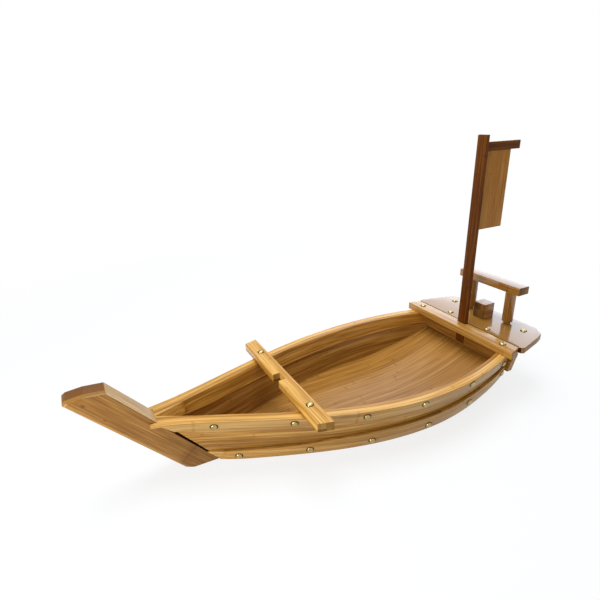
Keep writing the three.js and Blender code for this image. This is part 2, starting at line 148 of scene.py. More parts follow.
# %% Mesh helpers
SMOOTH_ANGLE = radians(32)
SIDE_GRAIN, END_GRAIN = 0.5, 0.75  # how squarely a face cuts the fibres, where end grain starts and is full


def face_table(piece):
    """Normals and centres of a piece's faces, the centres in hull millimetres."""
    normals, centres = np.empty((2, len(piece.data.polygons) * 3))
    piece.data.polygons.foreach_get("normal", normals)
    piece.data.polygons.foreach_get("center", centres)
    return normals.reshape(-1, 3), centres.reshape(-1, 3) * 1000 + (MIDDLE, 0, 0)


def set_grain(piece, grain):
    """Stores grain(points in hull millimetres), in millimetres too, on every vertex as a vector."""
    count = len(piece.data.vertices)
    flat = np.empty(count * 3)
    piece.data.vertices.foreach_get("co", flat)
    points = flat.reshape(-1, 3) * 1000 + (MIDDLE, 0, 0)
    layer = piece.data.attributes.new("grain", "FLOAT_VECTOR", "POINT")
    layer.data.foreach_set("vector", np.asarray(grain(points), np.float32).ravel())


# %% Mesh from rings
def skinned(name, rings, grain=None, along=None):
    """An object from an array of rings x points x 3 in hull millimetres: quads join the rings, and both ends
    are closed flat. With the direction of the fibres given, each face also stores its share of end grain:
    how far its normal runs along the fibres, stretched so that SIDE_GRAIN gives 0 and END_GRAIN gives 1."""
    rows, count = rings.shape[:2]
    index = np.arange(rows * count).reshape(rows, count)
    nxt = np.roll(index, -1, axis=1)
    quads = np.stack([index[:-1], nxt[:-1], nxt[1:], index[1:]], -1).reshape(-1, 4)
    ends = [index[0][::-1].tolist(), index[-1].tolist()]
    mesh = bpy.data.meshes.new(name)
    mesh.from_pydata(to_frame(rings.reshape(-1, 3)).tolist(), [], quads.tolist() + ends)
    smooth = np.ones(len(mesh.polygons), bool)
    smooth[-2:] = False
    mesh.polygons.foreach_set("use_smooth", smooth)
    mesh.set_sharp_from_angle(angle=SMOOTH_ANGLE)
    piece = bpy.data.objects.new(name, mesh)
    bpy.context.scene.collection.objects.link(piece)
    if grain is not None:
        set_grain(piece, grain)
    if along is not None:
        square = np.abs(face_table(piece)[0] @ along)
        share = np.clip((square - SIDE_GRAIN) / (END_GRAIN - SIDE_GRAIN), 0, 1)
        layer = mesh.attributes.new("end_grain", "FLOAT", "FACE")
        layer.data.foreach_set("value", share.astype(np.float32))
    return piece


def rounded(corners, radius, steps=4):
    """Rounds every corner of each outline. corners has shape ... x corners x 2. Each corner becomes a short
    parabola, t from 0 to 1, between points at one radius along its two edges."""
    edges = [np.roll(corners, turn, axis=-2) - corners for turn in (1, -1)]
    start, end = (corners + e * (radius / np.linalg.norm(e, axis=-1, keepdims=True)) for e in edges)
    t = np.linspace(0, 1, steps + 1)[:, None]
    start, middle, end = (p[..., None, :] for p in (start, corners, end))
    points = start * (1 - t) ** 2 + 2 * middle * t * (1 - t) + end * t**2
    return points.reshape(*corners.shape[:-2], -1, 2)


# %% [markdown]
# ## The camera
# The photograph was taken from close by with a wide lens, a little above the bow on the starboard side. The
# camera's place and turn were solved from the boat's straight edges.

# %% Camera
YAW, PITCH, ROLL = radians(-26.68), radians(22.17), radians(-1.96)
CAMERA_PLACE = (-223.9, -509.7, 431.8)
FOCAL_PIXELS, IMAGE_PIXELS, SENSOR_MM = 451.6, 600, 36
forward = Vector((np.sin(-YAW) * np.cos(PITCH), np.cos(YAW) * np.cos(PITCH), -np.sin(PITCH)))
level = Vector((np.cos(YAW), np.sin(YAW), 0))
over = level.cross(forward)
right = level * np.cos(ROLL) + over * np.sin(ROLL)
up = over * np.cos(ROLL) - level * np.sin(ROLL)

camera = bpy.data.objects.new("camera", bpy.data.cameras.new("camera"))
bpy.context.scene.collection.objects.link(camera)
camera.data.sensor_fit = "HORIZONTAL"
camera.data.sensor_width = SENSOR_MM
camera.data.lens = SENSOR_MM * FOCAL_PIXELS / IMAGE_PIXELS
camera.data.clip_start = 0.02
place = Vector(to_frame(CAMERA_PLACE))
camera.matrix_world = Matrix.Translation(place) @ Matrix((right, up, -forward)).transposed().to_4x4()
bpy.context.scene.camera = camera
print(f"lens {camera.data.lens:.2f} mm")

# %% [markdown]
# ## Materials
# Colours are written as sRGB hex, as a colour picker shows them, and one function turns them to the linear
# values that shaders use. One more small function adds a node with its settings and links.


# %% Colour and node helpers
def linear(hex_colour):
    """sRGB to linear: divide by 12.92 when dark, otherwise the 2.4 power curve."""
    v = np.array([int(hex_colour[i : i + 2], 16) for i in (1, 3, 5)]) / 255
    rgb = np.where(v <= 0.04045, v / 12.92, ((v + 0.055) / 1.055) ** 2.4)
    return (*map(float, rgb), 1.0)


def node(tree, kind, inputs=(), **settings):
    """Adds a node and sets its properties. Inputs are a list in the node's own order, or a dictionary by
    name. A plain value is written in, a socket is linked, and a node stands for its first output."""
    made = tree.nodes.new("ShaderNode" + kind)
    for name, value in settings.items():
        setattr(made, name, value)
    for key, value in inputs.items() if isinstance(inputs, dict) else enumerate(inputs):
        if isinstance(value, bpy.types.Node):
            value = value.outputs[0]
        if isinstance(value, bpy.types.NodeSocket):
            tree.links.new(value, made.inputs[key])
        else:
            made.inputs[key].default_value = value
    return made


def new_material(name):
    """An empty material, and the node function bound to its tree."""
    material = bpy.data.materials.new(name)
    material.use_nodes = True
    material.node_tree.nodes.clear()
    return material, partial(node, material.node_tree)


# %% [markdown]
# ## Laminated bamboo
# Bamboo timber is glued up from strips split out of the culm, here 6 to 7 mm wide. Each strip has its own
# tone and straight fibres a few tenths of a millimetre thick, and every 20 cm or so the ring of a knuckle
# crosses it. The boat wears a clear lacquer, so the shader has a coat over matt wood. The fibres are drawn
# 1.1 to 1.6 mm thick, as bundles, so that they still show in a picture of the whole boat.

# %% Bamboo's sizes and tones
KNUCKLE_MM = 210.0  # from knuckle to knuckle along a strip
KNUCKLE_WANDER = 4.0  # millimetres by which the broad noise bends a knuckle's ring
KNUCKLE_CORE, KNUCKLE_EDGE = 1.6, 5.0  # half widths where a ring is full and where it has faded
NO_KNUCKLE, ALL_KNUCKLE = 0.45, 0.6  # chance numbers up to which a strip has none, and from which full ones
STRIP_SHIFT = 431.0  # how far chance may slide a strip's fibres along, so that no two strips match
FIBRE_RUN = 0.018  # clouds of fine noise for each millimetre along a strip, so each is 56 mm long
BROADER = (0.45, 0.28, 0.28)  # the broad noise's clouds for each cloud of the fine one
SEAM_CORE, SEAM_EDGE = 0.1, 0.45  # millimetres from a glue line where it is full and where it has faded
# How far each difference moves the tone, which runs from 0, dark, to 1, light
BROAD_TONE, STRIP_TONE, KNUCKLE_TONE, SEAM_TONE = 1.5, 0.5, -0.22, -0.16
END_MIDDLE, END_STRIP_TONE, END_FIBRE_TONE, END_SEAM_TONE = 0.34, 0.8, 0.5, -0.2
KNOT_CORE, KNOT_EDGE, KNOT_RAGGED = 0.15, 1.1, 1.6  # squared shares of a knot's size
DARKEST, LIGHTEST = 0.1, 0.9  # tones at which the ramp of colours ends
EDGE_HIGHLIGHT_TONE, EDGE_HIGHLIGHT_RAGGED = 0.3, 9.0  # how much paler the painted highlight on a rounded edge is, and how far in mm its edge strays


# %% Bamboo function
def bamboo(
    piece, dark, middle, light, coat=0.6, strip=6.5, layer=None, contrast=1.0, streak=1.3, fibre=1.1,
    gloss=1.5, polish=0.06, band=None, knots=(), soak_and_shade=0.15, source="grain", surface="lacquered",
):
    """Lacquered laminated bamboo. The wood's place (along, across, deep) is in millimetres. Strips are
    `strip` wide and, where given, `layer` thick. `contrast` scales the broad differences of tone and
    `streak` the fine ones, whose width is `fibre`. `gloss` is the lacquer's IOR and `polish` its roughness.
    `band` is the across value up to which a painted highlight lightens the wood, for the light that a rounded
    edge catches. Each knot is (along, across, half length, half width, depth of tone), a dark spot that fades
    outwards. `soak_and_shade` is the share of its colour that end grain loses, for lacquer soaked into the
    fibres, and on the honey beams' ends also for painted shade. The tone is a sum of weight times value, read
    off a ramp of three colours."""
    material, add = new_material(f"{surface}_bamboo_{piece}")

    def summed(tone, *parts):
        """The tone plus weight times value for each part."""
        for value, weight in parts:
            tone = add("Math", [value, weight, tone], operation="MULTIPLY_ADD")
        return tone

    if source == "grain":
        place = add("Attribute", attribute_name="grain").outputs["Vector"]
    else:
        turn = {"Rotation": (0, 0, pi / 2), "Scale": (1000, 1000, 1000)}
        place = add("Mapping", {"Vector": add("TexCoord").outputs["Object"], **turn})
    along, across, deep = add("SeparateXYZ", [place]).outputs
    # which strip of which layer, and a chance number for it
    sizes = (across, strip), (deep, layer or 3 * strip)
    shares = [add("Math", pair, operation="DIVIDE") for pair in sizes]
    which = [add("Math", [share], operation="FLOOR") for share in shares]
    chance = add("TexWhiteNoise", {"Vector": add("CombineXYZ", which)}, noise_dimensions="2D")
    shifted = add("Math", [chance, STRIP_SHIFT, along], operation="MULTIPLY_ADD")
    # fibres: noise stretched along the strip, once fine and once broad
    fibre_place = add("CombineXYZ", [shifted, across, deep])
    fibre_place = add("VectorMath", [fibre_place, (FIBRE_RUN, 1 / fibre, 1 / fibre)], operation="MULTIPLY")
    fine = add("TexNoise", {"Vector": fibre_place, "Scale": 1.0, "Detail": 3.0})
    wider = add("VectorMath", [fibre_place, BROADER], operation="MULTIPLY")
    broad = add("TexNoise", {"Vector": wider, "Scale": 1.0, "Detail": 2.0})
    # knuckles: a soft band across some of the strips, at its own place along each
    ring = add("Math", [shifted, KNUCKLE_MM / 2], operation="ADD")
    ring = add("Math", [ring, KNUCKLE_MM / 2], operation="PINGPONG")
    ring = add("MapRange", [summed(ring, (broad, KNUCKLE_WANDER)), KNUCKLE_CORE, KNUCKLE_EDGE, 1.0, 0.0])
    some = add("MapRange", [chance, NO_KNUCKLE, ALL_KNUCKLE, 0.0, 1.0])
    knuckle = add("Math", [ring, some], operation="MULTIPLY")
    # glue seams between strips, and between layers: how near the next one is
    seam = add("Math", [across, strip / 2], operation="PINGPONG")
    if layer:
        below = add("Math", [deep, layer / 2], operation="PINGPONG")
        seam = add("Math", [seam, below], operation="MINIMUM")
    seam = add("MapRange", [seam, SEAM_CORE, SEAM_EDGE, 1.0, 0.0])
    # all of it together; each noise swings about one half, so half its weight comes off the start
    broad_tone, strip_tone = BROAD_TONE * contrast, STRIP_TONE * contrast
    swings = (fine, streak), (broad, broad_tone), (chance, strip_tone)
    start = 0.5 - (streak + broad_tone + strip_tone) / 2
    tone = summed(start, *swings, (knuckle, KNUCKLE_TONE), (seam, SEAM_TONE))
    # knots: tone lost inside an ellipse, ragged by the fine noise
    for knot_along, knot_across, half_length, half_width, depth in knots:
        shares = (1 / half_length, 1 / half_width, 0)
        centre = (-knot_along / half_length, -knot_across / half_width, 0)
        off = add("VectorMath", [place, shares, centre], operation="MULTIPLY_ADD")
        off = add("VectorMath", [off, off], operation="DOT_PRODUCT").outputs["Value"]
        off = summed(off, (fine, KNOT_RAGGED))
        low, high = KNOT_CORE + KNOT_RAGGED / 2, KNOT_EDGE + KNOT_RAGGED / 2
        tone = summed(tone, (add("MapRange", [off, low, high, 1.0, 0.0]), -depth))
    # end grain: the fibres' ends soak up lacquer, so the wood turns brown and each strip shows as a band
    end = add("Attribute", attribute_name="end_grain").outputs["Fac"]
    start = END_MIDDLE - (END_STRIP_TONE + END_FIBRE_TONE) / 2
    end_tone = summed(start, (chance, END_STRIP_TONE), (fine, END_FIBRE_TONE), (seam, END_SEAM_TONE))
    change = add("Math", [end_tone, tone], operation="SUBTRACT")
    tone = add("Math", [end, change, tone], operation="MULTIPLY_ADD")
    # painted highlight: side grain is paler up to the band's across value, for the light a rounded edge
    # catches
    if band is not None:
        edge = band + EDGE_HIGHLIGHT_RAGGED / 2
        painted_highlight = [summed(across, (broad, EDGE_HIGHLIGHT_RAGGED)), edge - 1, edge + 1, EDGE_HIGHLIGHT_TONE, 0.0]
        on_sides = add("Math", [1.0, end], operation="SUBTRACT")
        tone = add("Math", [add("MapRange", painted_highlight), on_sides, tone], operation="MULTIPLY_ADD")
    ramp = add("ValToRGB", [tone])
    stops = ramp.color_ramp.elements
    stops[0].color, stops[0].position = linear(dark), DARKEST
    stops[1].color, stops[1].position = linear(light), LIGHTEST
    stops.new(0.5).color = linear(middle)
    # fibres and glue lines stand in low relief, the end grain takes less lacquer; end grain is darkened for
    # soaked lacquer and, where set strongly, for painted shade
    relief = summed(add("Math", [fine, 0.5], operation="MULTIPLY"), (seam, -0.8))
    finish = {
        "Base Color": add("VectorMath", {0: ramp, "Scale": summed(1.0, (end, -soak_and_shade))}, operation="SCALE"),
        "Roughness": 0.55,
        "IOR": 1.5,
        "Specular IOR Level": 0.08,
        "Coat Weight": summed(coat, (end, -0.7 * coat)),
        "Coat Roughness": polish,
        "Coat IOR": gloss,
        "Normal": add("Bump", {"Height": relief, "Strength": 0.2, "Distance": 0.0001}),
    }
    add("OutputMaterial", [add("BsdfPrincipled", finish)])
    return material


# %% [markdown]
# ## The boat's finishes
# All the wood is bamboo, and most of it is brushed with clear lacquer, but no two boards come out alike.
# The rails' tops and the forward beam are the palest, honey coloured. Strakes and stern beam are a little
# deeper, and planks and floor browner. The rails' sides wear a browner copy of the rails' bamboo, which is
# painted shade. The stem is glued up from thick layers, with small knots; a painted highlight runs along its
# rounded front edge, and a paler copy of its bamboo paints the light on its upward-facing back. Deck, gate
# and block have the thickest lacquer, so they mirror the room. Mast and yard are stained dark and nearly
# matt, and the sail has hardly any lacquer.

# %% Bamboo finishes
# on the honey bamboo the strong end-grain darkening is also painted shade on the forward beam's end faces
honey_bamboo = bamboo("honey", "#97641b", "#c28c39", "#dfb05e", 0.45, strip=7, polish=0.25, soak_and_shade=0.5)
# painted shade: a browner copy of the honey bamboo, for the rails' sides out of the overhead light
rail_side_shade_bamboo = bamboo("rail_side_painted_shade", "#7c5118", "#9f7331", "#ba9355", 0.45, strip=7, polish=0.25)
strake_bamboo = bamboo("strake", "#916624", "#b8873e", "#d2a862", 0.4, contrast=0.7, polish=0.2)
plank_bamboo = bamboo("plank", "#764c16", "#a3732e", "#c79a52", 0.4, contrast=0.8, polish=0.2)
floor_bamboo = bamboo(
    "floor", "#744a14", "#a1702c", "#c3954c", 0.4, strip=7, contrast=0.45, streak=0.9, polish=0.25
)
beam_bamboo = bamboo("beam", "#916322", "#b5843a", "#d1a660", 0.8, contrast=0.7, polish=0.2)
STEM_STRIP, STEM_LAYER = 70.0, 10.42
STEM_KNOTS = [(670, 299, 3.0, 1.4, 0.9), (638, 295.5, 3, 1, 0.6), (513, 304, 12, 16, 0.15)]
# the stem's band paints a highlight along its rounded front edge
stem_bamboo = bamboo(
    "stem", "#71450f", "#895a1a", "#a97b3b", 0.7, STEM_STRIP, STEM_LAYER,
    contrast=0.35, streak=1.45, fibre=1.6, gloss=1.42, band=291.0, knots=STEM_KNOTS, soak_and_shade=0.1,
)
# painted light: a paler copy of the stem's bamboo for its back above the lip, which faces up into the overhead
# light
stem_back_lit_bamboo = bamboo(
    "stem_back_painted_light", "#8a6228", "#aa8446", "#caa86c", 0.7, STEM_STRIP, STEM_LAYER, contrast=0.5
)
deck_bamboo = bamboo("deck", "#7d561c", "#a2742e", "#bd924c", 1.0, contrast=0.5, gloss=1.7, polish=0.11)
gate_bamboo = bamboo("gate", "#68400f", "#946222", "#b0813f", 1.0, contrast=0.6, gloss=1.57, polish=0.1)
block_bamboo = bamboo("block", "#744812", "#a06c2a", "#bb8b47", 1.0, contrast=0.6, polish=0.1, soak_and_shade=0.5)
mast_bamboo = bamboo("mast", "#3d1c03", "#5c2f07", "#774614", 0.04, contrast=0.6, surface="stained")
sail_bamboo = bamboo("sail", "#8e591c", "#b07632", "#c68d47", 0.1, contrast=0.4)
hidden_bamboo = bamboo("frame", "#744a14", "#a1702c", "#c3954c", source="object")
print("finishes:", bpy.data.materials.keys())

# %% [markdown]
# ## Painted shade in the joints, and brass
# Where two lacquered pieces meet, the narrow gap lies in shade. That shade is painted onto the faces in the
# gap as a thin brown line that draws the boat's construction. The nails have pressed and polished brass heads.
# A metal shows only its reflections, in the tint of its base colour, so its roughness is low, with a trace of
# unevenness from the pressing. A dark ring round each head makes a nail show on pale wood. All three are
# cloudy mixtures of two tones, so one function makes them.


# %% Painted joint shade and brass materials
def clouded(name, dark, light, clouds, finish, bump=0.0):
    """A tone between two colours that follows a noise with so many clouds to the metre, and, with a bump
    given, a faint relief that follows it too."""
    material, add = new_material(name)
    where = add("TexCoord").outputs["Object"]
    cloud = add("TexNoise", {"Vector": where, "Scale": clouds, "Detail": 2.0})
    ramp = add("ValToRGB", [cloud])
    ramp.color_ramp.elements[0].color = linear(dark)
    ramp.color_ramp.elements[1].color = linear(light)
    finish = {"Base Color": ramp, **finish}
    if bump:
        finish["Normal"] = add("Bump", {"Height": cloud, "Strength": bump, "Distance": 0.0001})
    add("OutputMaterial", [add("BsdfPrincipled", finish)])
    return material


# painted shade in the joints: cloudy over 4 mm, and dull
dull = {"Roughness": 0.7, "Specular IOR Level": 0.1}
joint_shade = clouded("painted_shade_in_joints", "#2c1405", "#4a260b", 250.0, dull)
# pressed brass: cloudy over 3 mm; the dark rim round each head is less of a mirror
bright = {"Metallic": 1.0, "Roughness": 0.18, "Specular IOR Level": 0.5}
polished_brass = clouded("polished_pressed_brass", "#86703c", "#cab47a", 320.0, bright, 0.15)
rim_finish = {"Metallic": 0.1, "Roughness": 0.6, "Specular IOR Level": 0.05}
rim_brass = clouded("dark_brass_rim", "#1e1204", "#35230a", 320.0, rim_finish, 0.15)
print(len(bpy.data.materials), "materials so far")

# %% [markdown]
# ## Dressing a piece
# A finished piece takes its place in the frame with a few calls: which finish it wears, which body it moves
# with, and which CAD nodes it stands for. Some of its faces may get one more finish.


# %% Helpers for finished pieces
def dress(piece, material, body, slot, *nodes):
    """Gives a piece its finish, the body it moves with, and the CAD nodes it stands for."""
    piece.data.materials.append(material)
    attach(piece, body)
    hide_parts(*nodes)


def extra_finish(piece, material, faces):
    """Adds one more material and gives it to the faces where the array `faces` is true."""
    piece.data.materials.append(material)
    slots = np.empty(len(faces), np.int32)
    piece.data.polygons.foreach_get("material_index", slots)
    slots[faces] = len(piece.data.materials) - 1
    piece.data.polygons.foreach_set("material_index", slots)


# %% [markdown]
# ## Bent planks
# Each plank is a rectangle in cross section, swept along the hull skin. Its bow end isn't square: it is cut
# to the raked rear face of the stem. So each line of the grid starts where it meets that face, found by a
# few rounds of putting its height into the face's equation. The joiner eased that end, so a narrow groove
# runs down beside the stem, and painted shade darkens the groove's faces. The strakes stand proud of the
# planks, so their bow ends are planed thin to run into the stem's sides.

# %% Stem face and grain
SIDES = {"port": 1, "starboard": -1}
SLICES = 150
FIRST, LAST = -200, 366  # stations at the ends of the skin's curves
ROUNDS = 25  # of putting the heights of a plank's end into the stem face's equation
STEM_HEEL_REAR, STEM_RUN, STEM_TOP = -106.5, 121.0, 145.0


def stem_face(z):
    """X of the stem's rear face at a height: a straight line that leans forward, plus the fitting gap."""
    return STEM_HEEL_REAR + FIT - STEM_RUN * z / STEM_TOP


def plank_grain(points):
    """Along the plank: the length of its edge in plan, a sum of the root of one plus the slope squared over
    each millimetre. Across: the distance down from the rail. Deep: the inset from the skin."""
    x, y, z = points.T
    millimetres = np.linspace(FIRST, LAST, LAST - FIRST + 1)
    slope = np.gradient(curve(millimetres, STATION, HALF_WIDTH))
    along = np.interp(x, millimetres, np.cumsum(np.hypot(1, slope)))
    return np.stack([along, sheer(x) - z + 2.5, skin(x, z) - np.abs(y) + 3], -1)


def rail_grain(points):
    """As plank_grain, with the strips side by side across the rail's top."""
    along, down, inset = plank_grain(points).T
    return np.stack([along + 90, inset - 0.6, down - 1.5], -1)


# %% Sweep function
def swept_wall(name, side, bottom, top, outer, inner, radius, grain, front=None, groove=None, planed=None):
    """A plank between two heights and two insets: share along the hull by ring of rounded corners. A groove
    (width at the bottom, width at the top, depth) cuts back the outer face at the bow end and leaves a
    tongue behind it. `planed` (depth, length) thins that end by depth * (1 - distance / length) squared."""
    share = np.linspace(0, 1, SLICES)[:, None]
    corner_height = np.array([0.0, 0.0, 1.0, 1.0])
    corner_inset = np.array([1.0, 0.0, 0.0, 1.0])
    if front is None:
        start = np.full(4, -150.0)  # a first guess, which the rounds below bring to the stem's face
        for _ in range(ROUNDS):
            start = stem_face(bottom(start) + corner_height * (top(start) - bottom(start)))
    else:
        start = np.full(4, float(front))
    x = start + (HULL_REAR - start) * share
    cut_back = np.zeros_like(share)
    if planed is not None:
        from_end = np.minimum((x[:, 1:2] - x[0, 1]) / planed[1], 1)
        cut_back = planed[0] * (1 - from_end) ** 2
    if groove is not None:
        width = groove[0] + corner_height * (groove[1] - groove[0])
        x += width * (1 - share)
        x = np.concatenate([[start, start + width], x])
        cut_back = np.concatenate([[[groove[2]], [groove[2]]], cut_back])
    z = bottom(x) + corner_height * (top(x) - bottom(x))
    y = skin(x, z, np.where(corner_inset > 0, inner(x), outer + cut_back))
    yz = rounded(np.stack([y, z], -1), radius)
    steps = yz.shape[1] // 4
    rings = np.concatenate([np.repeat(x, steps, axis=1)[..., None], yz], -1)
    rings[..., 1] *= side
    return skinned(name, rings if side > 0 else rings[:, ::-1], grain)


# %% Planks and strakes
RECESS, PLANK, STRAKE_PROUD = 3.6, 9.5, 1.2
PLANK_EDGE, RAIL_EDGE = 0.4, 1.7
GROOVE, PLANED = (1.5, 6.3, 6.0), (3.3, 34.0)
RING = 4 * 5  # points round a plank, five at each corner; the groove is the first two rings of faces
for hand, side in SIDES.items():
    plank = swept_wall(
        f"bent_plank_{hand}", side, keel, lambda x: rail_bottom(x) - FIT, RECESS, lambda x: RECESS + PLANK,
        PLANK_EDGE, plank_grain, groove=GROOVE,
    )
    dress(plank, plank_bamboo, "hull", "planks", f"side_plank_{hand}")
    # painted shade: the groove's faces at the bow end take the joint shade
    extra_finish(plank, joint_shade, np.arange(len(plank.data.polygons)) < 2 * RING)
    strake = swept_wall(
        f"bent_strake_{hand}", side, keel, strake_top, -STRAKE_PROUD, lambda x: RECESS - FIT,
        PLANK_EDGE, plank_grain, planed=PLANED,
    )
    dress(strake, strake_bamboo, "hull", "strakes", f"lower_strake_{hand}")
    print(hand, "plank and strake:", len(plank.data.polygons), len(strake.data.polygons), "faces")

# %% [markdown]
# ## Rails
# The rails are the widest bent pieces. Near the bow they broaden until they meet in a V behind the stem, and
# a thin lip runs on along the stem's sides. That joint is cut, as a joiner would, with the stem's own
# shape: Boolean modifiers take away what lies forward of the stem's face, all but the lip. Two more cuts
# make the flats that the beams lie on. The grain is stored afterwards, from the finished points.


# %% Cutters
def prism(name, outline, low, high, axis):
    """A straight prism: the outline in the two axes other than `axis`, swept from low to high along it."""
    outline = np.asarray(outline, float)
    rings = np.insert(np.stack([outline, outline]), axis, np.array([[low], [high]]), axis=2)
    return skinned(name, rings if axis != 1 else rings[:, ::-1])


def cut_with(piece, cutters):
    """Applies a Boolean difference for each cutter and removes the cutters."""
    for cutter in cutters:
        modifier = piece.modifiers.new("cut", "BOOLEAN")
        modifier.operation, modifier.solver, modifier.object = "DIFFERENCE", "EXACT", cutter
    bpy.context.view_layer.update()
    evaluated = piece.evaluated_get(bpy.context.evaluated_depsgraph_get())
    finished = bpy.data.meshes.new_from_object(evaluated)
    piece.modifiers.clear()
    old, piece.data = piece.data, finished
    bpy.data.meshes.remove(old)
    for cutter in cutters:
        bpy.data.objects.remove(cutter)
    finished.set_sharp_from_angle(angle=SMOOTH_ANGLE)


# %% Stem space and seats
STEM_THICK, SEAT, BEAM_TOP = 31.1, 77.0, 89.7
RAIL_TIP = -187.5
LIP = 3.8  # height of the lip that runs on beside the stem
LIP_BELOW = float(sheer(RAIL_TIP)) - LIP
LIP_GAP, LIP_SPREAD = 1.0, 0.24
FORWARD_HALF, STERN_FRONT, STERN_REAR = 10.4, 328.7, 351.7
BEYOND = 150.0  # past the hull's half width, for cutters
RAIL_WIDTH = ([-200, -178, -163, -127, 260, 366], [26, 23.8, 21.4, 18, 18, 18])
SIDE_FACING, BOW_FACING = 0.6, 0.7  # least share of that direction in a face's normal


def stem_space(half_width, top, gap=0.0, spread=0.0):
    """Everything forward of the stem's rear face, up to a height and out to a half width. A gap behind that
    face can be added, which spreads downwards by `spread` mm for each mm."""
    low = stem_face(-20) + gap + spread * (top + 20)
    outline = [(-300, -20), (low, -20), (stem_face(top) + gap, top), (-300, top)]
    return prism("stem_space", outline, -half_width, half_width, 1)


def rectangle(low_a, high_a, low_b, high_b):
    """Four corners, anticlockwise."""
    return [(low_a, low_b), (high_a, low_b), (high_a, high_b), (low_a, high_b)]


def seat(front, rear):
    """The space above a beam's flat, between two stations."""
    return prism("seat", rectangle(front, rear, -BEYOND, BEYOND), SEAT, SEAT + 20, 2)


# %% Rails
for hand, side in SIDES.items():
    rail = swept_wall(
        f"bent_rail_{hand}", side, rail_bottom, sheer, 0.0, lambda x: curve(x, *RAIL_WIDTH),
        RAIL_EDGE, None, RAIL_TIP,
    )
    cutters = [
        stem_space(STEM_THICK / 2 + FIT, STEM_TOP),
        stem_space(BEYOND, LIP_BELOW, LIP_GAP, LIP_SPREAD),
        seat(-FORWARD_HALF - FIT, FORWARD_HALF + FIT),
        seat(STERN_FRONT - FIT, LAST),
    ]
    cut_with(rail, cutters)
    set_grain(rail, rail_grain)
    dress(rail, honey_bamboo, "hull", "rails", f"rail_{hand}")
    normals, centres = face_table(rail)
    # painted shade: faces that look out sideways take the browner copy
    extra_finish(rail, rail_side_shade_bamboo, normals[:, 1] * side > SIDE_FACING)
    # painted shade: the rail's faces below the lip that look forward onto the stem lie in the gap and take the
    # joint shade
    at_stem = (centres[:, 0] < STEM_HEEL_REAR) & (centres[:, 2] < LIP_BELOW)
    extra_finish(rail, joint_shade, at_stem & (normals[:, 0] < -BOW_FACING))
    rail.modifiers.new("even_normals", "WEIGHTED_NORMAL").keep_sharp = True
    print(rail.name, len(rail.data.polygons), "faces")

# %% [markdown]
# ## The floor
# The floor is one board between the planks, flat on the table and bent up towards the stern. Its edges lean
# as the planks do, so it is swept along the hull too, with four corners.

# %% Floor
FLOOR = 12.0


def floor_grain(points):
    """Along the hull, across it from one edge, and up from the keel line."""
    return np.stack([points[:, 0], points[:, 1] + 200, points[:, 2] - keel(points[:, 0])], -1)


x = np.linspace(stem_face(FLOOR), HULL_REAR, SLICES)
edge = RECESS + PLANK + FIT
low, high = skin(x, keel(x), edge), skin(x, keel(x) + FLOOR, edge)
corners = np.stack([np.stack([-low, low, high, -high], -1), np.repeat(keel(x)[:, None], 4, 1)], -1)
corners[:, 2:, 1] += FLOOR
rings = np.concatenate([np.repeat(x[:, None, None], 4, 1), corners], -1)
floor = skinned("bent_floor", rings, floor_grain)
dress(floor, floor_bamboo, "hull", "planks", "floor_board")
print(floor.name, len(floor.data.polygons), "faces")

# %% [markdown]
# ## Boards
# Stem, beams, deck, block, gate rail, mast, yard and sail are flat boards with eased edges. One function
# makes them all: an outline, moved inwards by a quarter circle at the two faces so that the edges round
# over.


# %% Board function
def moved_in(outline, move):
    """Each edge moves in by its own distance. A corner goes to the crossing of its two moved edges: the
    point whose distances along both edge normals are those two moves."""
    edge = np.roll(outline, -1, axis=0) - outline
    edge /= np.linalg.norm(edge, axis=1, keepdims=True)
    normal = np.stack([-edge[:, 1], edge[:, 0]], -1)
    both = np.stack([np.roll(normal, 1, axis=0), normal], 1)
    moves = np.stack([np.roll(move, 1, axis=-1), move], -1)
    return outline + np.linalg.solve(both, moves[..., None])[..., 0]


def board(
    name, outline, thickness, start, plane, along,
    ease=0.9, width=None, corner=0.5, steps=4, wear=0.0, depth=402.0,
):
    """A board from an anticlockwise outline. Ring k lies at ease * (1 - cos) from its face, and its edges
    are moved in by width * (1 - sin), a quarter ellipse; the corners of every ring are rounded alike. `wear`
    can move single corners further by (1 - sin). `plane` names the outline's two axes, `along` is the way
    the fibres run, and `depth` is how deep in the timber the board lies, which picks its layers' tones."""
    outline = np.asarray(outline, float)
    width = np.full(len(outline), ease) if width is None else np.asarray(width, float)
    angle = np.linspace(0, pi / 2, steps + 1)
    height = ease * (1 - np.cos(angle))
    move = 1 - np.sin(angle)
    height = np.concatenate([height, thickness - height[::-1]]) + start
    move = np.concatenate([move, move[::-1]])
    flat = rounded(np.stack([moved_in(outline, m * width) + m * wear for m in move]), corner, 3)
    first, second, third = {"xy": (0, 1, 2), "xz": (0, 2, 1), "yz": (1, 2, 0)}[plane]
    rings = np.empty((len(height), flat.shape[1], 3))
    rings[..., first], rings[..., second] = flat[..., 0], flat[..., 1]
    rings[..., third] = height[:, None]
    if plane == "xz":
        rings = rings[:, ::-1]
    along = np.array(along, float) / np.linalg.norm(along)
    deep = np.eye(3)[third]
    across = np.cross(deep, along)
    shift = (400, 399.5, depth)
    return skinned(name, rings, lambda p: p @ np.stack([along, across, deep], -1) + shift, along)


# %% [markdown]
# ## The stem
# The stem is the boat's figurehead and the piece nearest to the camera: a plank 31 mm thick that stands on
# its heel and leans forward, with a level, slightly humped top and rounded edges. The front edges are worn
# the roundest, most of all at the tip, where hands take the boat. Its fibres run up the rake.

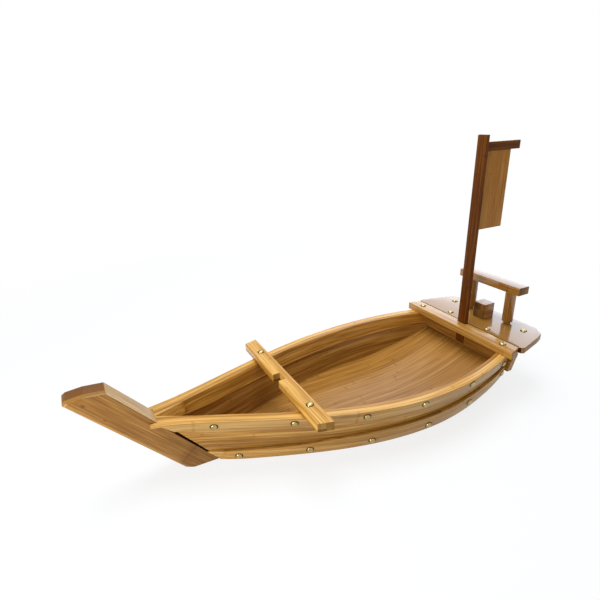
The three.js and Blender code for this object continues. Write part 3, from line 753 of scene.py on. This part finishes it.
# %% Stem
TOP_LENGTH, HEEL_LENGTH, HUMP = 42.5, 43.0, 1.8
HEEL = 7.0  # the clip at the heel's front corner
STEM_EASE, STEM_CORNER, STEM_DEPTH = 4.0, 0.8, 1141.8
heel_rear = np.array([STEM_HEEL_REAR, 0.0])
top_rear = np.array([STEM_HEEL_REAR - STEM_RUN, STEM_TOP])
top_front = top_rear - (TOP_LENGTH, 0)
tip = top_front - (4.0, 2.6)
heel_front = heel_rear - (HEEL_LENGTH, 0)
rake = (tip - heel_front) / np.linalg.norm(tip - heel_front)
crown = top_rear + (top_front - top_rear) * 0.55 + (0, HUMP)
inwards = np.array([rake[1], -rake[0]])
outwards = np.array([STEM_TOP, STEM_RUN]) / np.hypot(STEM_TOP, STEM_RUN)
# Each corner, how far the edge after it is rounded, and its own extra wear. The two points on the long
# edges stand 0.15 mm out, so that no corner is quite straight.
stem_corners = [
    (tip, 2.0, (8.0, 0.0)),
    (tip * 0.58 + heel_front * 0.42 - inwards * 0.15, 2.0, inwards * 3.0),
    (heel_front + rake * HEEL, 1.2, (0.0, 0.0)),
    (heel_front + (HEEL * 0.29, HEEL * 0.29), 1.2, (0.0, 0.0)),
    (heel_front + (HEEL, 0), 0.8, (0.0, 0.0)),
    (heel_rear, 2.0, (1.0, -0.4)),
    (heel_rear + (top_rear - heel_rear) * LIP_BELOW / STEM_TOP + outwards * 0.15, 2.0, outwards * 0.3),
    (top_rear, 2.6, (0.0, 0.0)),
    (crown, 2.6, (0.0, 0.0)),
    (top_front, 4.0, (5.0, 0.0)),
]
stem_outline, edge_widths, tip_wear = (np.array(column) for column in zip(*stem_corners))
stem = board(
    "raked_stem", stem_outline, STEM_THICK, -STEM_THICK / 2, "xz", (rake[0], 0, rake[1]),
    STEM_EASE, edge_widths, STEM_CORNER, 7, tip_wear, STEM_DEPTH,
)
dress(stem, stem_bamboo, "hull", "stem", "stem")
BACK_FACING, ROUNDING_FROM, FLAT_UP_TO, JOINT_FROM = 0.9, 0.35, 0.05, 3.0  # shares of a normal; mm up
normals, centres = face_table(stem)
backwards, height = normals[:, [0, 2]] @ outwards, centres[:, 2]
# painted light: the faces of the back above the lip take the paler copy
extra_finish(stem, stem_back_lit_bamboo, (backwards > BACK_FACING) & (height > LIP_BELOW))
# painted shade: the rounded rear edge between heel and lip, beside the planks' groove, takes the joint shade
rounding = (backwards > ROUNDING_FROM) & (np.abs(normals[:, 1]) > FLAT_UP_TO)
extra_finish(stem, joint_shade, rounding & (height > JOINT_FROM) & (height < LIP_BELOW))
print(f"the stem leans {np.degrees(np.arctan2(STEM_RUN, STEM_TOP)):.1f} degrees forward")

# %% [markdown]
# ## Beams
# Both beams cross the hull on the rails and stand out on both sides. Three strips side by side make up
# their width, and each has a notch for a mast: the forward one in its bow edge, the stern one in its rear
# edge.

# %% Beams
MAST_WIDTH, MAST_THICK, SLIDE = 17.6, 6.4, 0.4
NOTCH = MAST_WIDTH / 2 + SLIDE
forward_outline = [
    (-FORWARD_HALF, -119.8), (FORWARD_HALF, -125.9), (FORWARD_HALF, 125.9), (-FORWARD_HALF, 119.8),
    (-FORWARD_HALF, NOTCH), (0, NOTCH), (0, -NOTCH), (-FORWARD_HALF, -NOTCH),
]
beam = board("forward_beam_wood", forward_outline, BEAM_TOP - SEAT, SEAT, "xy", (0, 1, 0))
dress(beam, honey_bamboo, "hull", "rails", "forward_beam")

BEAM_REAR = STERN_REAR - 0.5  # opens the groove to the deck a little, so that it shows as a dark line
SLOT_FRONT = STERN_REAR - MAST_THICK - SLIDE
stern_outline = [
    (STERN_FRONT, -118.4), (BEAM_REAR, -111.4), (BEAM_REAR, -NOTCH), (SLOT_FRONT, -NOTCH),
    (SLOT_FRONT, NOTCH), (BEAM_REAR, NOTCH), (BEAM_REAR, 111.4), (STERN_FRONT, 118.4),
]
edge_widths = [0.9, 0.3, 0.9, 0.9, 0.9, 0.3, 0.9, 0.9]
beam = board("stern_beam_wood", stern_outline, BEAM_TOP - SEAT, SEAT, "xy", (0, 1, 0), 0.9, edge_widths)
dress(beam, beam_bamboo, "hull", "rails", "stern_beam")
print(f"beams {BEAM_TOP - SEAT:.1f} mm high, notches {2 * NOTCH:.1f} mm wide")

# %% [markdown]
# ## Deck, block and gate
# The deck's rear corners are clipped and its front corners rounded. The gate's round posts are turned on a
# lathe, with a short neck and a tenon that drops into a drilled hole, so the gate lifts out.

# %% Deck
DECK_FRONT, DECK_SIDE, DECK = 353.0, 117.0, 10.0
FRONT_ROUND = 6  # size of the rounded front corners
SHOULDER, REAR_HALF, CLIP = 105, 80, 29.5  # half widths before and after the clipped rear corner, its length
GATE_X, GATE_Y = DECK_REAR - 23.5, 40.6
TENON = 5.4
port_half = [
    (DECK_FRONT, DECK_SIDE - FRONT_ROUND),
    (DECK_FRONT + 0.29 * FRONT_ROUND, DECK_SIDE - 0.29 * FRONT_ROUND),
    (DECK_FRONT + FRONT_ROUND, DECK_SIDE),
    (DECK_REAR - CLIP, SHOULDER),
    (DECK_REAR - CLIP * 0.424, SHOULDER - (SHOULDER - REAR_HALF) * 0.248),
    (DECK_REAR, REAR_HALF),
]
deck_outline = [(x, -y) for x, y in port_half] + port_half[::-1]
edge_widths = [0.9] * 11 + [0.3]
deck = board("deck_board", deck_outline, DECK, BEAM_TOP - DECK, "xy", (0, 1, 0), 0.9, edge_widths, 1.0)


def turned(profile, x=0, y=0, steps=48):
    """Rings of a solid of revolution about an upright axis at (x, y): radius and height over the angle."""
    profile = np.asarray(profile, float)
    angle = np.linspace(0, 2 * pi, steps, endpoint=False)
    rings = np.empty((len(profile), steps, 3))
    rings[..., 0] = x + profile[:, :1] * np.cos(angle)
    rings[..., 1] = y + profile[:, :1] * np.sin(angle)
    rings[..., 2] = profile[:, 1:]
    return rings


HOLE = TENON + SLIDE
drill = [(HOLE, 60), (HOLE, 100)]
cut_with(deck, [skinned("drill", turned(drill, GATE_X, side * GATE_Y)) for side in SIDES.values()])
dress(deck, deck_bamboo, "hull", "deck", "stern_deck")
# painted shade: the deck's front face, in the groove behind the stern beam, takes the joint shade
extra_finish(deck, joint_shade, face_table(deck)[0][:, 0] < -BACK_FACING)
print(f"deck {2 * DECK_SIDE:.0f} mm wide, holes {2 * HOLE:.1f} mm across")

# %% Gate and block
POST, GATE_UNDER = 8.8, BEAM_TOP + 58.4
GATE_RAIL, GATE_RAIL_HALF, GATE_OVERHANG = 13.4, 11.6, 22.8
BLOCK_X, BLOCK_HALF, BLOCK_HIGH = GATE_X - 12.8, 11.8, 27.3
HOLE_FLOOR = BEAM_TOP - DECK
foot = [(TENON - 0.4, HOLE_FLOOR + FIT), (TENON, HOLE_FLOOR + 0.8), (TENON, BEAM_TOP + 1.6)]
shaft = [(POST - 0.3, BEAM_TOP + 3.9), (POST, BEAM_TOP + 4.5), (POST, GATE_UNDER)]


def post_grain(points):
    """Along: up the post. Across: aft from a glue line 3 mm before the axis. Deep: to port."""
    return np.stack([points[:, 2], points[:, 0] - GATE_X + 3, points[:, 1]], -1)


for hand, side in SIDES.items():
    post = skinned(f"turned_post_{hand}", turned(foot + shaft, GATE_X, side * GATE_Y), post_grain)
    dress(post, gate_bamboo, "stern_gate", "gate", f"gate_post_{hand}")

half_length = GATE_Y + GATE_OVERHANG
outline = rectangle(GATE_X - GATE_RAIL_HALF, GATE_X + GATE_RAIL_HALF, -half_length, half_length)
gate_rail = board("gate_top_rail", outline, GATE_RAIL, GATE_UNDER, "xy", (0, 1, 0))
dress(gate_rail, gate_bamboo, "stern_gate", "gate", "gate_rail")

outline = rectangle(BLOCK_X - BLOCK_HALF, BLOCK_X + BLOCK_HALF, -BLOCK_HALF, BLOCK_HALF)
block = board("deck_block", outline, BLOCK_HIGH, BEAM_TOP, "xy", (1, 0, 0))
dress(block, block_bamboo, "hull", "gate", "stern_block")
print(f"gate {2 * half_length:.1f} mm long, top at {GATE_UNDER + GATE_RAIL:.1f} mm")

# %% [markdown]
# ## Mast, yard and sail
# The mast is a slim dark board, flat across the hull. The yard runs aft from it and a thin board hangs below
# as the sail. Their fibres run along their length.

# %% Rig
MAST_TOP, MAST_FOOT = 397.3, SEAT - 25.5
YARD_HIGH, YARD_LONG, YARD_THICK = 12.8, 75.8, 6.4
SAIL_HIGH, SAIL_WIDE, SAIL_THICK = 121.6, 57.8, 3.4
outline = rectangle(-MAST_WIDTH / 2, MAST_WIDTH / 2, MAST_FOOT + FIT, MAST_TOP)
mast = board("mast_board", outline, MAST_THICK, STERN_REAR - MAST_THICK, "yz", (0, 0, 1), 0.8)
dress(mast, mast_bamboo, "mast_and_sail", "mast", "mast")
YARD_LOW = MAST_TOP - 10.9 - YARD_HIGH
outline = rectangle(STERN_REAR, STERN_REAR + YARD_LONG, YARD_LOW, YARD_LOW + YARD_HIGH)
yard = board("yard_bar", outline, YARD_THICK, -YARD_THICK / 2, "xz", (1, 0, 0), 0.8)
dress(yard, mast_bamboo, "mast_and_sail", "mast", "yard")
outline = rectangle(STERN_REAR, STERN_REAR + SAIL_WIDE, YARD_LOW - SAIL_HIGH, YARD_LOW)
sail = board("sail_board", outline, SAIL_THICK, -SAIL_THICK / 2, "xz", (0, 0, 1), 0.6)
dress(sail, sail_bamboo, "mast_and_sail", "sail", "sail")
print(f"mast {MAST_TOP - MAST_FOOT:.1f} mm long")

# %% [markdown]
# ## Nails
# A nail head is a shallow dome with a pressed rim. Its profile is close to a quarter ellipse, over a low
# collar. On the hull each head stands square to the skin, so its axis is the skin's normal, from the
# skin's slopes along and down the hull.

# %% Nail heads
NAIL_RADIUS, NAIL_HEIGHT, NAIL_RIM, RIM_RADIUS = 4.3, 2.6, 0.5, 5.3
NAIL_STEPS = 28
FULLNESS = 0.9  # below 1 the dome's shoulder is fuller than an ellipse
angle = np.linspace(0, pi / 2, 9)[:-1]
dome_height = NAIL_RIM + (NAIL_HEIGHT - NAIL_RIM) * np.sin(angle)
dome = np.stack([NAIL_RADIUS * np.cos(angle) ** FULLNESS, dome_height], -1)
rim = [(RIM_RADIUS - 0.2, 0.0), (RIM_RADIUS, 0.2), (RIM_RADIUS - 0.1, 0.45), (NAIL_RADIUS + 0.1, 0.3)]
nail_profile = np.concatenate([rim, dome, [(0.25, NAIL_HEIGHT)]])


def nail(name, place, normal, node_name):
    """A turned head whose flat side lies at `place`, with its axis brought to `normal` by a rotation."""
    turn = np.array(Vector((0, 0, 1)).rotation_difference(Vector(normal)).to_matrix())
    head = skinned(name, turned(nail_profile, steps=NAIL_STEPS) @ turn.T + np.asarray(place))
    dress(head, polished_brass, "hull", "nails", node_name)
    rim_faces = (len(rim) - 1) * NAIL_STEPS
    extra_finish(head, rim_brass, np.arange(len(head.data.polygons)) < rim_faces)


def side_nail(label, hand, number, x, z, proud):
    """A nail square to the skin: the normal is (-slope along, 1, -slope up) for port, made one unit long."""
    side = SIDES[hand]
    slope = skin(x + 0.5, z) - skin(x - 0.5, z)
    flare = skin(x, z + 1) - skin(x, z)
    normal = Vector((-float(slope), side, -float(flare))).normalized()
    place = np.array([x, side * float(skin(x, z, -proud)), z]) + np.array(normal) * FIT
    nail(f"{label}_head_{hand}_{number}", place, normal, f"{label}_nail_{hand}_{number}")


# %% Rows of nails
# Each nail's station, and its share of the way from one edge of its band to the other
RAIL_NAILS = {-116: 0.42, -22: 0.4, 69: 0.4, 154: 0.38, 241: 0.3, 331: 0.7}
STRAKE_NAILS = {-85: 0.45, 4: 0.44, 88: 0.36, 179: 0.34, 258: 0.48, 338: 0.46}
NAIL_ROWS = [
    ("rail", 0.0, sheer, rail_bottom, RAIL_NAILS),
    ("strake", STRAKE_PROUD, keel, strake_top, STRAKE_NAILS),
]
for label, proud, near, far, nails in NAIL_ROWS:
    for number, (x, share) in enumerate(nails.items(), 1):
        z = float(near(x) + share * (far(x) - near(x)))
        for hand in SIDES:
            side_nail(label, hand, number, float(x), z, proud)
TOP_NAILS = {
    "forward_beam": (0.6, 80.7),
    "stern_beam": (340.2, 90.8),
    "deck_front": (361.5, 41.4),
    "deck_rear": (407.0, 76.5),
}
for label, (x, y) in TOP_NAILS.items():
    for hand, side in SIDES.items():
        nail(f"{label}_head_{hand}", (x, side * y, BEAM_TOP), (0, 0, 1), f"{label}_nail_{hand}")

# %% [markdown]
# ## What stays from the CAD
# The transom and the ledger under the deck are plain boards that hardly show, so their CAD solids stay and
# only get the bamboo finish, read from Object coordinates with the fibres across the hull.

# %% Hidden frame
for name in ("transom", "stern_ledger"):
    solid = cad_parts[name]
    solid.data.materials.clear()
    solid.data.materials.append(hidden_bamboo)
    print(name, "keeps its CAD solid")

# %% [markdown]
# ## Studio
# The photograph is a cut-out on white with a faint shadow. A wide pale floor catches the shadow, and for
# camera and mirror rays most of its white is its own light, so it stays white without extra light on the
# boat. One soft lamp hangs overhead, one stands to the left of the camera and brightens the bow, and one
# stands behind the stern, where the lacquered deck mirrors it. The white room fills in the rest.


# %% White paper
ROOM_FILL = 0.26  # strength of the white room as a light
PAPER_NEAR, WHITE_FROM, WHITE_AT = 0.8, 0.5, 1.1  # share of its own light near the boat; metres out


def seen_directly(add):
    """1 for camera and mirror rays, 0 for the rays that only bring light."""
    path = add("LightPath").outputs
    return add("Math", [path["Is Camera Ray"], path["Is Glossy Ray"]], operation="MAXIMUM")


def white_floor():
    """White paper: near the boat it keeps part of its shading, and further out it turns to white."""
    material, add = new_material("matte_white_paper")
    plain = add("BsdfDiffuse", {"Color": linear("#eef2f6")})
    glow = add("Emission", {"Color": (1, 1, 1, 1), "Strength": 1.0})
    seen = seen_directly(add)
    far = add("VectorMath", [add("TexCoord").outputs["Object"]], operation="LENGTH").outputs["Value"]
    share = add("MapRange", [far, WHITE_FROM, WHITE_AT, PAPER_NEAR, 1.0])
    part = add("Math", [seen, share], operation="MULTIPLY")
    add("OutputMaterial", [add("MixShader", [part, plain, glow])])
    return material


# %% Ground and room
GROUND_HALF, GROUND_TOP, GROUND_THICK = 4000, -0.2, 20
outline = rectangle(-GROUND_HALF, GROUND_HALF, -GROUND_HALF, GROUND_HALF)
ground = prism("ground", outline, GROUND_TOP - GROUND_THICK, GROUND_TOP, 2)
ground.data.materials.append(white_floor())

world = bpy.data.worlds.new("white_room")
world.use_nodes = True
world.node_tree.nodes.clear()
bpy.context.scene.world = world
add = partial(node, world.node_tree)
strength = add("MapRange", {"Value": seen_directly(add), "To Min": ROOM_FILL, "To Max": 1.0})
sky = add("Background", {"Color": (1, 1, 1, 1), "Strength": strength})
add("OutputWorld", [sky])


# %% Lamps
def lamp(name, place, target, width, height, power, colour="#ffffff"):
    """A softbox in metres and watts, turned to face its target and unseen by the camera. It prints its
    radiance: the power over pi times its area."""
    light = bpy.data.lights.new(name, "AREA")
    light.shape, light.size, light.size_y, light.energy = "RECTANGLE", width, height, power
    light.color = linear(colour)[:3]
    made = bpy.data.objects.new(name, light)
    bpy.context.scene.collection.objects.link(made)
    made.location = place
    made.rotation_euler = (Vector(target) - Vector(place)).to_track_quat("-Z", "Y").to_euler()
    made.visible_camera = False
    print(f"{name} radiance {power / (pi * width * height):.2f}")


lamp("overhead_softbox", (0.1, 0.3, 1.5), (0, 0, 0), 1.0, 1.0, 20)
lamp("bow_softbox", (-0.85, -0.35, 0.25), (-0.2, -0.04, 0.05), 0.4, 0.35, 5.2)
lamp("stern_softbox", (1.0, 0.54, 0.56), (0.33, 0, 0.09), 1.4, 0.7, 6.2, "#d8eaff")

bpy.context.scene.view_settings.view_transform = "Standard"

# %% Finish
bpy.context.view_layer.update()
